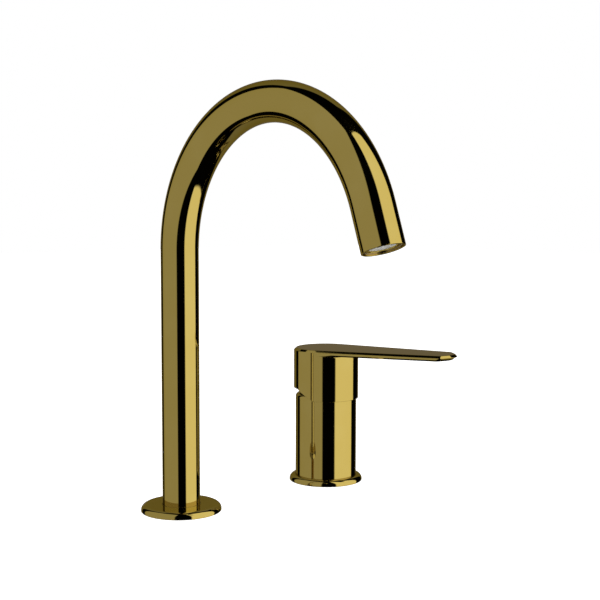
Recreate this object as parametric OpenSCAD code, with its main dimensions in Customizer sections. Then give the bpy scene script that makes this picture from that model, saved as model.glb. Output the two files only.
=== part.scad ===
// Two-hole basin mixer in polished gold-coloured brass: a swan-neck spout that swivels on
// a foot clamped through the deck, and a separate single-lever control with a ceramic
// cartridge. Millimetres, +Z up. The origin is on the deck at the spout's axis, the basin
// is towards -Y, and the control stands at +X. Pieces under the deck clamp both feet.

/* [Layout] */
// Distance between the axes of the two deck holes
hole_spacing = 148; // [120:1:200]
// Thickness of the deck
deck_t = 30; // [10:1:50]
// Diameter of each hole in the deck
deck_hole_d = 35; // [34:0.5:38]

/* [Spout tube] */
// Outside diameter of the tube
tube_d = 28; // [27:0.5:34]
// Wall of the tube
tube_wall = 1.5; // [1:0.1:2]
// Height of the deck-to-bend straight
post_h = 194; // [120:1:300]
// Centre-line radius of the bend
bend_r = 102; // [60:1:130]
// Angle that the bend turns through
bend_angle = 161; // [120:1:180]
// Straight length between the bend and the outlet
outlet_len = 28; // [20:1:60]
// Swivel of the spout to each side of straight ahead
swivel_each_way = 60; // [10:5:75]

/* [Foot flanges] */
// Diameter of the flange round the spout's foot
flange_d = 60; // [58:1:75]
// Height of each flange
flange_h = 5; // [4.6:0.1:8]
// Width of the flange that shows round the control's body
control_flange_w = 4.9; // [4:0.1:10]
// Rounding of a flange's top edge
flange_round = 4; // [0.4:0.1:4.4]

/* [Swivel foot] */
// Diameter of the threaded shank through the deck
shank_d = 24; // [20:0.5:28]
// Bore that carries the water up the shank
waterway_d = 12; // [8:0.5:13]
// Thickness of the collar that bears on the deck
collar_h = 3.2; // [3:0.1:3.6]
// Bearing width of the collar and the washers outside the deck hole
bearing_w = 4.5; // [3:0.5:7]
// Height of the journal above the collar
journal_h = 44; // [38:1:70]
// Wall of the bush between the journal and the tube
bush_wall = 2.6; // [2:0.1:3.4]
// Thickness of the plastic glide ring under the tube
glide_t = 1; // [0.6:0.1:1.4]
// Section diameter of the O-rings
seal_d = 2; // [1.5:0.1:2.3]
// Diameter of the grub screw that holds the spout down
grub_d = 4; // [3:0.5:5]
// Core diameter of the hose thread in the shank
spout_port_d = 15.2; // [13:0.1:16]
// Depth of the hose thread in the shank
spout_port_depth = 13; // [8:1:20]

/* [Aerator] */
// Wall of the outlet ring that is brazed into the tube
outlet_ring_wall = 1.4; // [1:0.1:2]
// Length of the aerator's housing
aerator_len = 10; // [8:0.5:14]
// How far the aerator sits back in the tube's mouth
aerator_setback = 1.2; // [0.5:0.1:3]
// Diameter of each hole in the flow straightener
flow_hole_d = 1.7; // [1.2:0.1:1.9]
// Pitch of the holes in the flow straightener
flow_hole_pitch = 2.5; // [2.3:0.1:2.7]

/* [Under the deck] */
// Thickness of the rubber pads
pad_t = 3; // [1.5:0.5:5]
// Thickness of the steel washer and the clamp plate
clamp_t = 2; // [1.5:0.5:4]
// Size across the flats of the spout's nut
spout_nut_af = 32; // [30:1:40]
// Height of the spout's nut
spout_nut_h = 8; // [6:1:12]
// Diameter of the control's stud
stud_d = 8; // [6:1:8]
// Size across the flats of the stud's nut
stud_nut_af = 13; // [11:1:16]
// Height of the stud's nut
stud_nut_h = 6.5; // [5:0.5:10]
// Thread left free below each nut
thread_spare = 14; // [6:1:25]
// Radius of the clamp plate
clamp_r = 27; // [25:0.5:30]

/* [Control body] */
// Diameter of the body
body_d = 50.2; // [48:0.2:56]
// Height of the body above the deck
body_h = 73; // [71.5:0.5:78]
// Rounding of the body's top edge
body_round = 3.3; // [1:0.1:4]
// Depth of the cartridge's shoulder below the body's top
cartridge_sink = 7; // [6:0.1:8]
// Angle of each inlet to either side of straight ahead
inlet_angle = 51.5; // [48:0.5:56]
// Width of the ceramic disc left outside each inlet
inlet_edge = 1.3; // [1:0.1:1.8]
// Distance of the mixed-water outlet behind the control's axis
outlet_back = 1.5; // [1:0.1:1.8]
// Distance of the stud behind the control's axis
stud_back = 13; // [12.6:0.1:13.5]
// Core diameter of the hose threads
hose_port_d = 9; // [8:0.1:9.4]
// Depth of the hose threads
hose_port_depth = 12; // [8:1:16]
// Diameter of the drilled ways up to the cartridge
channel_d = 6; // [4:0.2:6]

/* [Cartridge] */
// Diameter of the cartridge
cartridge_d = 35; // [34.5:0.1:36]
// Height of the cartridge from its seat to its shoulder
cartridge_h = 28; // [27.8:0.1:30]
// Wall of the cartridge's housing
housing_wall = 1.6; // [1.2:0.1:1.8]
// Height of the cartridge's base
base_h = 6; // [5:0.1:6.1]
// Thickness of the fixed ceramic disc
fixed_disc_t = 4; // [3:0.1:4.1]
// Thickness of the moving ceramic disc
moving_disc_t = 3; // [2.6:0.1:3.1]
// Space between the moving disc and the housing at each end of the travel
disc_end_gap = 0.8; // [0.5:0.1:1.4]
// Diameter of the stem's ball
ball_d = 6; // [5:0.1:6.4]
// Width of the square stem
stem_w = 8; // [7:0.1:8.6]
// Diameter of the pin that the stem lifts about
pin_d = 4; // [3:0.1:4.6]
// Lift of the lever from shut to full flow
lift_max = 25; // [15:1:25]

/* [Lever] */
// Height of the lever's flat top above the body's top
lever_rise = 37.5; // [33:0.1:52]
// Thickness of the paddle
paddle_t = 4.5; // [3.2:0.1:5]
// Reach of the paddle's tip from the control's axis
paddle_reach = 112; // [80:1:140]
// Width of the paddle at its tip
tip_w = 32.6; // [30:0.2:44]
// Rounding of the paddle's two tip corners, seen from above
tip_corner_r = 5; // [2:0.5:8]
// How far the end of the paddle leans in at its foot
tip_rake = 2.4; // [0:0.1:4]
// Rounding of the edges round the paddle
edge_round = 1.1; // [0.5:0.1:1.5]
// Free space between the body and the lever's skirt
skirt_gap = 0.5; // [0.4:0.05:1]
// Wall of the skirt at its lower lip
lip_wall = 1; // [0.8:0.05:1.5]
// How far the skirt hangs below the body's top
skirt_overlap = 4.2; // [3:0.1:5]
// How much higher the skirt ends at its back
back_rise = 8.4; // [8:0.1:11]
// Turn of the lever from straight ahead, towards cold
lever_turn = 23; // [-45:1:45]
// Diameter of the screw that clamps the lever to its stem
set_screw_d = 5; // [4:0.5:6]

/* [Fits] */
// Radial clearance of pieces that turn in each other
run_gap = 0.07; // [0.05:0.01:0.1]
// Clearance of fixed pieces that slip together
slip_gap = 0.05; // [0.02:0.01:0.1]
// Space between flat faces that slide or turn on each other
face_gap = 0.05; // [0.02:0.01:0.1]

/* [Hidden] */
$fn = 96;

GOLD = [0.62, 0.53, 0.27];
BRASS = [0.72, 0.6, 0.33];
STEEL = [0.7, 0.71, 0.73];
RUBBER = [0.12, 0.12, 0.13];
NYLON = [0.88, 0.88, 0.84];
CERAMIC = [0.95, 0.94, 0.9];

overcut = 1;
hull_fn = 32;

tube_r = tube_d / 2;
tube_bore_r = tube_r - tube_wall;
flange_r = flange_d / 2;
shank_r = shank_d / 2;
waterway_r = waterway_d / 2;
seal_r = seal_d / 2;
seal_squeeze = 0.1;
collar_r = deck_hole_d / 2 + bearing_w;
collar_seat_gap = 0.2;
foot_seal_ring_r = deck_hole_d / 2 + bearing_w / 2;
bush_r = tube_bore_r - slip_gap;
journal_r = bush_r - bush_wall - run_gap;
journal_top = collar_h + journal_h;
bush_lip = 3;
bush_top = journal_top + face_gap + bush_lip;
tube_foot_z = collar_h + glide_t + face_gap;
groove_w = seal_d + 0.4;
groove_r = journal_r - seal_d + seal_squeeze;
upper_seal_z = journal_top - 4;
lower_seal_z = upper_seal_z - 7;
grub_rise = 12;
grub_z = collar_h + grub_rise;
grub_r = grub_d / 2;
grub_tip_r = grub_r * 0.65;
stop_groove_depth = 1.6;
stop_groove_gap = 0.2;

under_deck_z = -deck_t;
pad_z = under_deck_z - pad_t;
clamp_z = pad_z - clamp_t;
spout_nut_z = clamp_z - spout_nut_h;
shank_end_z = spout_nut_z - thread_spare;
washer_r = deck_hole_d / 2 + bearing_w + 3;
stud_nut_z = clamp_z - stud_nut_h;
stud_end_z = stud_nut_z - thread_spare;
stud_r = stud_d / 2;
stud_depth = 14;
hose_r = 5;

end_lap = 0.5;
end_step = 0.02;
outlet_ring_r = tube_bore_r - end_step - slip_gap;
outlet_bore_r = outlet_ring_r - outlet_ring_wall;
aerator_r = outlet_bore_r - slip_gap;
aerator_wall = 1.3;
aerator_lip_t = 1;
aerator_seal_t = 1.6;
straightener_r = aerator_r - aerator_wall - slip_gap;
straightener_t = 4;

body_r = body_d / 2;
cartridge_r = cartridge_d / 2;
cartridge_top = body_h - cartridge_sink;
seat_h = cartridge_top - cartridge_h;
pivot_z = cartridge_top;
nut_bore_r = cartridge_r + 2.5;
nut_thread_h = 5;
nut_hex_af = 30;
nut_hex_h = 4;
roof_t = 1.6;
neck_wall = 1.6;
neck_h = 6;
neck_bore_r = 11.2;
neck_r = neck_bore_r + neck_wall;
housing_bore_r = cartridge_r - housing_wall;
base_flange_h = 3;
disc_z = seat_h + base_h;
disc_r = housing_bore_r - slip_gap - 0.3;
moving_disc_z = disc_z + fixed_disc_t + face_gap;
slider_z = moving_disc_z + moving_disc_t;
slider_plate_t = 3;
slider_top = slider_z + slider_plate_t;
rotor_z = slider_top + 3 * face_gap;
rotor_shoulder_z = cartridge_top - roof_t - 2 * face_gap;
rotor_top = body_h + 0.5;
stem_half = stem_w / 2;
slot_gap = 0.15;
ball_r = ball_d / 2;
ball_z = slider_top + ball_r;
ball_drop = pivot_z - ball_z;
ball_gap = 0.2;
arm_r = ball_r * 0.72;
boss_rise = 1.5;
boss_r = ball_r + ball_gap + 3.3;
slider_boss_top = ball_z + boss_rise;
travel = ball_drop * sin(lift_max);
disc_offset = -travel / 2;
moving_disc_r = housing_bore_r - travel / 2 - disc_end_gap;
peg_r = 1.5;
peg_y = moving_disc_r - 2.6;
peg_depth = 1.2;
locating_pin_r = 2;
locating_pin_x = 12;
locating_pin_y = 6;
locating_pin_h = 3;
locating_hole_h = locating_pin_h + 0.3;
inlet_r = disc_r - inlet_edge - channel_d / 2;
inlet_x = inlet_r * sin(inlet_angle);
inlet_front = inlet_r * cos(inlet_angle);
// The two inlets and the mixed outlet, as places round the control's axis
PORTS = [[-inlet_x, -inlet_front], [inlet_x, -inlet_front], [0, outlet_back]];
port_seal_r = channel_d / 2 + 1.15;
port_seal_section_r = 0.8;

skirt_bore_r = body_r + skirt_gap;
skirt_r = skirt_bore_r + lip_wall;
skirt_wall = 2.2;
skirt_z = body_h - skirt_overlap;
skirt_step_z = body_h + 3;
back_ramp_len = 16.5;
lever_top = body_h + lever_rise;
lever_roof_t = paddle_t + 0.4;
lever_roof_z = lever_top - lever_roof_t;
stem_top = lever_roof_z - 3.6;
hub_r = stem_half * 1.42 + 3.3;
hub_h = 16;
hub_z = stem_top - hub_h;
set_screw_z = (hub_z + stem_top) / 2;
set_screw_r = set_screw_d / 2;
index_cap_r = set_screw_r + 0.7;
nose_r = tip_w * 0.43;
head_inset = 0.1;
cove_r = 1.6;

// ---- shared helpers ----

// A flat disc whose top edge is rounded, as a half section for a revolve
module rounded_disc_section(radius, height, rounding) {
    square([radius, height - rounding]);
    square([radius - rounding, height]);
    translate([radius - rounding, height - rounding]) intersection() {
        circle(r = rounding);
        translate([-rounding, rounding - height]) square([2 * rounding, height]);
    }
}

// A plain ring between two radii
module ring(outer_r, inner_r, height) {
    difference() {
        cylinder(r = outer_r, h = height);
        translate([0, 0, -overcut]) cylinder(r = inner_r, h = height + 2 * overcut);
    }
}

// An O-ring
module o_ring(centre_r, section_r) {
    rotate_extrude() translate([centre_r, 0]) circle(r = section_r);
}

// A hexagon given by its size across the flats
module hexagon(across_flats, height) {
    cylinder(d = across_flats / cos(30), h = height, $fn = 6);
}

// A square ring cut round a shaft, for an O-ring or a stop
module groove(outer_r, inner_r, width) {
    translate([0, 0, -width / 2]) ring(outer_r + overcut, inner_r, width);
}

module at_control() {
    translate([hole_spacing, 0, 0]) children();
}

// The lever's own frame: its paddle points along +X
module at_lever() {
    at_control() rotate([0, 0, lever_turn - 90]) children();
}

// The plane of the bend: +X of this frame points at the post, +Y is up
module at_bend() {
    translate([0, -bend_r, post_h]) rotate([90, 0, 90]) children();
}

// The spout's mouth: +Z of this frame is the way the water leaves
module at_outlet() {
    at_bend() rotate([0, 0, bend_angle]) translate([bend_r, outlet_len, 0])
        rotate([-90, 0, 0]) children();
}

// ---- spout ----

// The whole swan neck as a rod, longer by `extra` at both ends. The turned straight end
// laps over the bent tube, `step` larger all round.
module swan_neck(radius, extra, step) {
    translate([0, 0, tube_foot_z - extra])
        cylinder(r = radius, h = post_h - tube_foot_z + extra);
    at_bend() rotate_extrude(angle = bend_angle) translate([bend_r, 0]) circle(r = radius);
    at_outlet() translate([0, 0, -outlet_len - end_lap])
        cylinder(r = radius + step, h = outlet_len + end_lap + extra);
}

// The bore that the grub screw is turned into, at the back of the post
module grub_hole() {
    translate([0, 0, grub_z]) rotate([-90, 0, 0])
        cylinder(r = grub_r + slip_gap, h = tube_r + overcut);
}

module spout_tube() {
    color(GOLD) difference() {
        swan_neck(tube_r, 0, end_step);
        swan_neck(tube_bore_r, overcut, -end_step);
        grub_hole();
    }
}

module spout_bush() {
    color(BRASS) difference() {
        translate([0, 0, tube_foot_z]) cylinder(r = bush_r, h = bush_top - tube_foot_z);
        translate([0, 0, tube_foot_z - overcut])
            cylinder(r = journal_r + run_gap, h = journal_top + face_gap - tube_foot_z + overcut);
        translate([0, 0, journal_top]) cylinder(r = waterway_r + 1, h = bush_lip + overcut);
        grub_hole();
    }
}

module spout_grub_screw() {
    tip_end_r = journal_r - stop_groove_depth + stop_groove_gap;
    shoulder_r = journal_r + run_gap + 0.3;
    color(STEEL) translate([0, 0, grub_z]) rotate([-90, 0, 0]) difference() {
        union() {
            translate([0, 0, tip_end_r]) cylinder(r = grub_tip_r, h = shoulder_r - tip_end_r);
            translate([0, 0, shoulder_r]) cylinder(r = grub_r, h = tube_r - 0.4 - shoulder_r);
        }
        translate([0, 0, tube_r - 2.2]) hexagon(grub_r, 3);
    }
}

// Brazed into the tube: the aerator is turned into it, up against an inner shoulder
module outlet_ring() {
    shoulder_t = 1.5;
    shoulder_w = 1.8;
    thread_len = aerator_len + aerator_seal_t;
    color(BRASS) at_outlet() translate([0, 0, -aerator_setback - thread_len - shoulder_t])
        difference() {
            cylinder(r = outlet_ring_r, h = thread_len + shoulder_t);
            translate([0, 0, shoulder_t]) cylinder(r = outlet_bore_r, h = thread_len + overcut);
            cylinder(r = outlet_bore_r - shoulder_w, h = 3 * shoulder_t, center = true);
        }
}

module aerator_housing() {
    lip_w = 0.7;
    bore_r = aerator_r - aerator_wall;
    color(GOLD) at_outlet() translate([0, 0, -aerator_setback - aerator_len]) difference() {
        cylinder(r = aerator_r, h = aerator_len);
        translate([0, 0, -overcut]) cylinder(r = bore_r, h = aerator_len - aerator_lip_t + overcut);
        cylinder(r = bore_r - lip_w, h = aerator_len + overcut);
    }
}

// Rows of round holes on a triangular grid, in as many rings round the middle one as fit
module flow_holes() {
    rim = 0.5;
    rings = floor((straightener_r - flow_hole_d / 2 - rim) / flow_hole_pitch);
    row_step = flow_hole_pitch * sin(60);
    for (row = [-rings:rings], col = [0:2 * rings - abs(row)])
        translate([(col - rings + abs(row) / 2) * flow_hole_pitch, row * row_step, -overcut])
            cylinder(d = flow_hole_d, h = straightener_t + 2 * overcut, $fn = 24);
}

module flow_straightener() {
    color(NYLON) at_outlet() translate([0, 0, -aerator_setback - aerator_lip_t - straightener_t])
        difference() {
            cylinder(r = straightener_r, h = straightener_t);
            flow_holes();
        }
}

module aerator_seal() {
    color(RUBBER) at_outlet() translate([0, 0, -aerator_setback - aerator_len - aerator_seal_t])
        ring(aerator_r, aerator_r - 2.2, aerator_seal_t);
}

// ---- spout foot ----

module spout_flange() {
    color(GOLD) rotate_extrude() difference() {
        rounded_disc_section(flange_r, flange_h, flange_round);
        translate([0, -overcut]) square([tube_r + collar_seat_gap, flange_h + 2 * overcut]);
        translate([0, -overcut])
            square([collar_r + collar_seat_gap, collar_h + slip_gap + overcut]);
    }
}

module swivel_foot() {
    stop_span = 2 * (swivel_each_way + asin(grub_tip_r / (journal_r - stop_groove_depth)) + 1);
    color(BRASS) difference() {
        union() {
            translate([0, 0, shank_end_z]) cylinder(r = shank_r, h = -shank_end_z);
            cylinder(r = collar_r, h = collar_h);
            translate([0, 0, collar_h]) cylinder(r = journal_r, h = journal_h);
        }
        translate([0, 0, shank_end_z - overcut])
            cylinder(r = waterway_r, h = journal_top - shank_end_z + 2 * overcut);
        translate([0, 0, shank_end_z - overcut])
            cylinder(d = spout_port_d, h = spout_port_depth + overcut);
        translate([0, 0, upper_seal_z]) groove(journal_r, groove_r, groove_w);
        translate([0, 0, lower_seal_z]) groove(journal_r, groove_r, groove_w);
        // the stop groove runs round the back, as far as the grub screw's tip may travel
        translate([0, 0, grub_z]) rotate([0, 0, 90 - stop_span / 2]) rotate_extrude(angle = stop_span)
            translate([journal_r - stop_groove_depth, -grub_tip_r - stop_groove_gap])
                square([stop_groove_depth + overcut, 2 * (grub_tip_r + stop_groove_gap)]);
        translate([0, 0, seal_r]) groove_below_seal(foot_seal_ring_r);
    }
}

// The open groove in a foot's underside that holds its O-ring
module groove_below_seal(centre_r) {
    translate([0, 0, -seal_r - overcut])
        ring(centre_r + seal_r + slip_gap, centre_r - seal_r - slip_gap, seal_d + slip_gap + overcut);
}

module foot_seal() {
    color(RUBBER) translate([0, 0, seal_r]) o_ring(foot_seal_ring_r, seal_r);
}

module journal_seals() {
    seal_ring_r = journal_r - seal_r + seal_squeeze / 2;
    color(RUBBER) for (z = [lower_seal_z, upper_seal_z])
        translate([0, 0, z]) o_ring(seal_ring_r, seal_r - seal_squeeze / 2);
}

module glide_ring() {
    color(NYLON) translate([0, 0, collar_h]) ring(tube_r - 0.2, journal_r + run_gap, glide_t);
}

module spout_pad() {
    color(RUBBER) translate([0, 0, pad_z]) ring(washer_r, shank_r + slip_gap, pad_t);
}

module spout_washer() {
    color(STEEL) translate([0, 0, clamp_z]) ring(washer_r - 1, shank_r + slip_gap, clamp_t);
}

module spout_nut() {
    color(BRASS) translate([0, 0, spout_nut_z]) difference() {
        hexagon(spout_nut_af, spout_nut_h);
        translate([0, 0, -overcut]) cylinder(r = shank_r + slip_gap, h = spout_nut_h + 2 * overcut);
    }
}

// ---- control body ----

module control_body() {
    color(GOLD) at_control() difference() {
        rotate_extrude() rounded_disc_section(body_r, body_h, body_round);
        translate([0, 0, seat_h]) cylinder(r = cartridge_r + 2 * slip_gap, h = body_h);
        translate([0, 0, cartridge_top - 0.2]) cylinder(r = nut_bore_r, h = body_h);
        for (port = PORTS) translate([port[0], port[1], -overcut]) {
            cylinder(d = hose_port_d, h = hose_port_depth + overcut);
            cylinder(d = channel_d, h = seat_h + 2 * overcut);
        }
        for (side = [-1, 1])
            translate([side * locating_pin_x, locating_pin_y, seat_h - locating_hole_h])
                cylinder(r = locating_pin_r + slip_gap, h = locating_hole_h + overcut);
        translate([0, stud_back, -overcut])
            cylinder(r = stud_r + slip_gap, h = stud_depth + overcut);
        translate([0, 0, seal_r]) groove_below_seal(body_r - 2.6);
    }
}

module control_flange() {
    color(GOLD) at_control() rotate_extrude() difference() {
        rounded_disc_section(body_r + control_flange_w, flange_h, flange_round);
        translate([0, -overcut]) square([body_r + slip_gap, flange_h + 2 * overcut]);
    }
}

module body_seal() {
    color(RUBBER) at_control() translate([0, 0, seal_r]) o_ring(body_r - 2.6, seal_r);
}

module clamp_stud() {
    color(STEEL) at_control() translate([0, stud_back, stud_end_z])
        cylinder(r = stud_r, h = stud_depth - 0.5 - stud_end_z);
}

// The outline of the clamp plate: a disc with a way in for the three hoses
module horseshoe(radius) {
    window_half_w = inlet_x + hose_r + 0.5;
    window_back = outlet_back + hose_r + 0.6;
    difference() {
        circle(r = radius);
        translate([-window_half_w, -radius - overcut])
            square([2 * window_half_w, radius + overcut + window_back]);
        translate([0, stud_back]) circle(r = stud_r + 0.2);
    }
}

module clamp_pad() {
    color(RUBBER) at_control() translate([0, 0, pad_z]) linear_extrude(pad_t) horseshoe(clamp_r + 1);
}

module clamp_plate() {
    color(STEEL) at_control() translate([0, 0, clamp_z]) linear_extrude(clamp_t) horseshoe(clamp_r);
}

module stud_nut() {
    color(STEEL) at_control() translate([0, stud_back, stud_nut_z]) difference() {
        hexagon(stud_nut_af, stud_nut_h);
        translate([0, 0, -overcut]) cylinder(r = stud_r + slip_gap, h = stud_nut_h + 2 * overcut);
    }
}

// ---- cartridge ----

module cartridge_base() {
    color(NYLON) at_control() difference() {
        union() {
            translate([0, 0, seat_h]) cylinder(r = cartridge_r, h = base_flange_h);
            translate([0, 0, seat_h]) cylinder(r = housing_bore_r - slip_gap, h = base_h);
            for (side = [-1, 1])
                translate([side * locating_pin_x, locating_pin_y, seat_h - locating_pin_h])
                    cylinder(r = locating_pin_r, h = locating_pin_h + overcut);
        }
        for (port = PORTS) translate([port[0], port[1], seat_h - overcut]) {
            cylinder(d = channel_d, h = base_h + 2 * overcut);
            ring(port_seal_r + port_seal_section_r + slip_gap,
                 port_seal_r - port_seal_section_r - slip_gap,
                 2 * port_seal_section_r + slip_gap + overcut);
        }
    }
}

module port_seals() {
    color(RUBBER) at_control() for (port = PORTS)
        translate([port[0], port[1], seat_h + port_seal_section_r])
            o_ring(port_seal_r, port_seal_section_r);
}

module cartridge_housing() {
    inner_h = cartridge_h - base_flange_h - roof_t;
    color(NYLON) at_control() difference() {
        union() {
            translate([0, 0, seat_h + base_flange_h])
                cylinder(r = cartridge_r, h = cartridge_h - base_flange_h);
            translate([0, 0, cartridge_top]) cylinder(r = neck_r, h = neck_h);
        }
        translate([0, 0, seat_h + base_flange_h - overcut])
            cylinder(r = housing_bore_r, h = inner_h + overcut);
        translate([0, 0, seat_h]) cylinder(r = neck_bore_r, h = cartridge_h + neck_h + overcut);
    }
}

module fixed_disc() {
    color(CERAMIC) at_control() difference() {
        translate([0, 0, disc_z]) cylinder(r = disc_r, h = fixed_disc_t);
        for (port = PORTS) translate([port[0], port[1], disc_z - overcut])
            cylinder(d = channel_d, h = fixed_disc_t + 2 * overcut);
    }
}

// The blending pocket joins the outlet to the inlets as the disc slides forward
module moving_disc() {
    pocket_front = inlet_front - channel_d / 2 - 0.4;
    pocket_back = -outlet_back - channel_d / 2 - travel - 0.2;
    pocket_half_w = inlet_x - channel_d / 2 + 2;
    color(CERAMIC) at_lever() difference() {
        translate([disc_offset, 0, moving_disc_z]) cylinder(r = moving_disc_r, h = moving_disc_t);
        translate([pocket_back, -pocket_half_w, moving_disc_z - overcut])
            cube([pocket_front - pocket_back, 2 * pocket_half_w, moving_disc_t * 0.55 + overcut]);
        for (side = [-1, 1]) translate([disc_offset, side * peg_y, slider_z - peg_depth - slip_gap])
            cylinder(r = peg_r + slip_gap, h = peg_depth + slip_gap + overcut);
    }
}

module disc_slider() {
    color(NYLON) at_lever() translate([disc_offset, 0, 0]) difference() {
        union() {
            translate([0, 0, slider_z]) cylinder(r = moving_disc_r, h = slider_plate_t);
            for (side = [-1, 1]) translate([0, side * peg_y, slider_z - peg_depth])
                cylinder(r = peg_r, h = peg_depth + overcut);
            translate([0, 0, slider_z]) cylinder(r = boss_r, h = slider_boss_top - slider_z);
        }
        // the socket takes the stem's ball, which stands at the control's axis when shut
        translate([-disc_offset, 0, ball_z - ball_r - ball_gap])
            cylinder(r = ball_r + ball_gap, h = ball_drop);
    }
}

module cartridge_rotor() {
    channel_half_x = boss_r + travel / 2 + 0.3;
    channel_half_y = boss_r + slot_gap;
    slot_back = stem_half + slot_gap + (rotor_top - pivot_z) * tan(lift_max) + 0.6;
    slot_front = travel + ball_r + ball_gap;
    slot_half_y = stem_half + slot_gap;
    color(NYLON) at_lever() difference() {
        union() {
            translate([0, 0, rotor_z])
                cylinder(r = housing_bore_r - run_gap, h = rotor_shoulder_z - rotor_z);
            translate([0, 0, rotor_z]) cylinder(r = neck_bore_r - run_gap, h = rotor_top - rotor_z);
        }
        translate([-channel_half_x, -channel_half_y, rotor_z - overcut])
            cube([2 * channel_half_x, 2 * channel_half_y, slider_boss_top + 0.4 - rotor_z + overcut]);
        translate([-slot_back, -slot_half_y, rotor_z])
            cube([slot_back + slot_front, 2 * slot_half_y, rotor_top]);
        translate([0, 0, pivot_z]) rotate([90, 0, 0])
            cylinder(r = pin_d / 2 + slip_gap, h = 4 * neck_bore_r, center = true);
    }
}

module pivot_pin() {
    color(STEEL) at_lever() translate([0, 0, pivot_z]) rotate([90, 0, 0])
        cylinder(d = pin_d, h = 2 * (neck_bore_r - 1), center = true);
}

module lever_stem() {
    block_z = pivot_z - stem_half;
    color(BRASS) at_lever() difference() {
        union() {
            translate([0, 0, ball_z]) sphere(r = ball_r);
            translate([0, 0, ball_z]) cylinder(r = arm_r, h = block_z - ball_z + overcut);
            translate([-stem_half, -stem_half, block_z]) cube([stem_w, stem_w, stem_top - block_z]);
        }
        translate([0, 0, pivot_z]) rotate([90, 0, 0])
            cylinder(r = pin_d / 2 + run_gap, h = 2 * stem_w, center = true);
    }
}

module cartridge_nut() {
    color(BRASS) at_control() difference() {
        union() {
            translate([0, 0, cartridge_top]) cylinder(r = nut_bore_r - slip_gap, h = nut_thread_h);
            translate([0, 0, cartridge_top]) hexagon(nut_hex_af, nut_thread_h + nut_hex_h);
        }
        translate([0, 0, cartridge_top - overcut])
            cylinder(r = neck_r + 0.2, h = nut_thread_h + nut_hex_h + 2 * overcut);
    }
}

// A thin turned cover that hides the cartridge nut when the lever is raised
module nut_cover() {
    edge_r = nut_bore_r + 1.3;
    hole_r = neck_r - 0.2;
    clear_r = nut_hex_af / 2 / cos(30) + 0.4;
    nut_top_z = cartridge_top + nut_thread_h + nut_hex_h;
    color(GOLD) at_control() rotate_extrude() polygon([
        [clear_r, body_h], [edge_r, body_h], [edge_r, body_h + 0.8], [edge_r - 1, body_h + 1.8],
        [hole_r + 3, nut_top_z + 1.6], [hole_r, nut_top_z + 1.6],
        [hole_r, nut_top_z + 0.3], [clear_r, nut_top_z + 0.3]
    ]);
}

// ---- lever ----

// The circles that the paddle's outline wraps, drawn in by `inset`: the round head, just
// inside the skirt, the two tip corners and the shallow nose between them, which stand
// back from the tip by `rake`
module lever_rounds(inset, rake) {
    corner_y = tip_w / 2 - tip_corner_r;
    nose_x = paddle_reach - nose_r - rake;
    corner_x = nose_x + sqrt(nose_r * nose_r - corner_y * corner_y) - tip_corner_r;
    circle(r = skirt_r - head_inset - inset);
    for (side = [-1, 1]) translate([corner_x, side * corner_y])
        circle(r = tip_corner_r - inset, $fn = hull_fn);
    translate([nose_x, 0]) circle(r = nose_r - inset, $fn = 2 * hull_fn);
}

// One thin slice of the paddle, drawn in where a quarter-round edge draws it in
module paddle_slice(height, inset, rake) {
    slice_t = 0.2;
    translate([0, 0, height - (height > lever_top - paddle_t / 2 ? slice_t : 0)])
        linear_extrude(slice_t) lever_rounds(inset, rake);
}

module paddle() {
    steps = 3;
    low_round = edge_round * 0.7;
    hull() {
        for (i = [0:steps]) {
            turn = 90 * i / steps;
            paddle_slice(lever_top - edge_round * (1 - sin(turn)), edge_round * (1 - cos(turn)), 0);
        }
        for (i = [0:steps - 1]) {
            turn = 90 * i / (steps - 1);
            low_z = lever_top - paddle_t + low_round * (1 - sin(turn));
            paddle_slice(low_z, low_round * (1 - cos(turn)), tip_rake);
        }
    }
}

// The skirt's lower edge steps up at the back, so that the lever can tip
module back_clearance() {
    far = 2 * skirt_r;
    translate([0, far, 0]) rotate([90, 0, 0]) linear_extrude(2 * far) polygon([
        [0, skirt_z - overcut], [0, skirt_z], [-back_ramp_len, skirt_z + back_rise],
        [-far, skirt_z + back_rise], [-far, skirt_z - overcut]
    ]);
}

// A small cove under the paddle where it leaves the skirt
module paddle_cove() {
    under_z = lever_top - paddle_t;
    intersection() {
        translate([0, 0, under_z - cove_r]) rotate_extrude() difference() {
            square([skirt_r + cove_r, cove_r + 0.5]);
            translate([skirt_r + cove_r, 0]) circle(r = cove_r);
        }
        translate([0, 0, under_z - 2 * cove_r]) linear_extrude(3 * cove_r)
            hull() lever_rounds(edge_round, tip_rake);
    }
}

module lever_handle() {
    color(GOLD) at_lever() difference() {
        union() {
            paddle();
            paddle_cove();
            translate([0, 0, skirt_z]) rotate_extrude()
                rounded_disc_section(skirt_r, lever_top - skirt_z, edge_round);
        }
        translate([0, 0, skirt_z - overcut])
            cylinder(r = skirt_bore_r, h = skirt_step_z - skirt_z + overcut);
        difference() {
            translate([0, 0, skirt_step_z - overcut])
                cylinder(r = skirt_r - skirt_wall, h = lever_roof_z - skirt_step_z + overcut);
            translate([0, 0, hub_z]) cylinder(r = hub_r, h = lever_roof_z - hub_z + overcut);
        }
        back_clearance();
        translate([-stem_half - slip_gap, -stem_half - slip_gap, hub_z - overcut])
            cube([stem_w + 2 * slip_gap, stem_w + 2 * slip_gap, stem_top + 0.2 - hub_z + overcut]);
        translate([-hub_r - overcut, 0, set_screw_z]) rotate([0, 90, 0])
            cylinder(r = set_screw_r + slip_gap, h = hub_r + overcut - stem_half + 0.5);
        translate([-skirt_r - overcut, 0, set_screw_z]) rotate([0, 90, 0])
            cylinder(r = index_cap_r + slip_gap, h = skirt_wall + 2 * overcut);
    }
}

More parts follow.
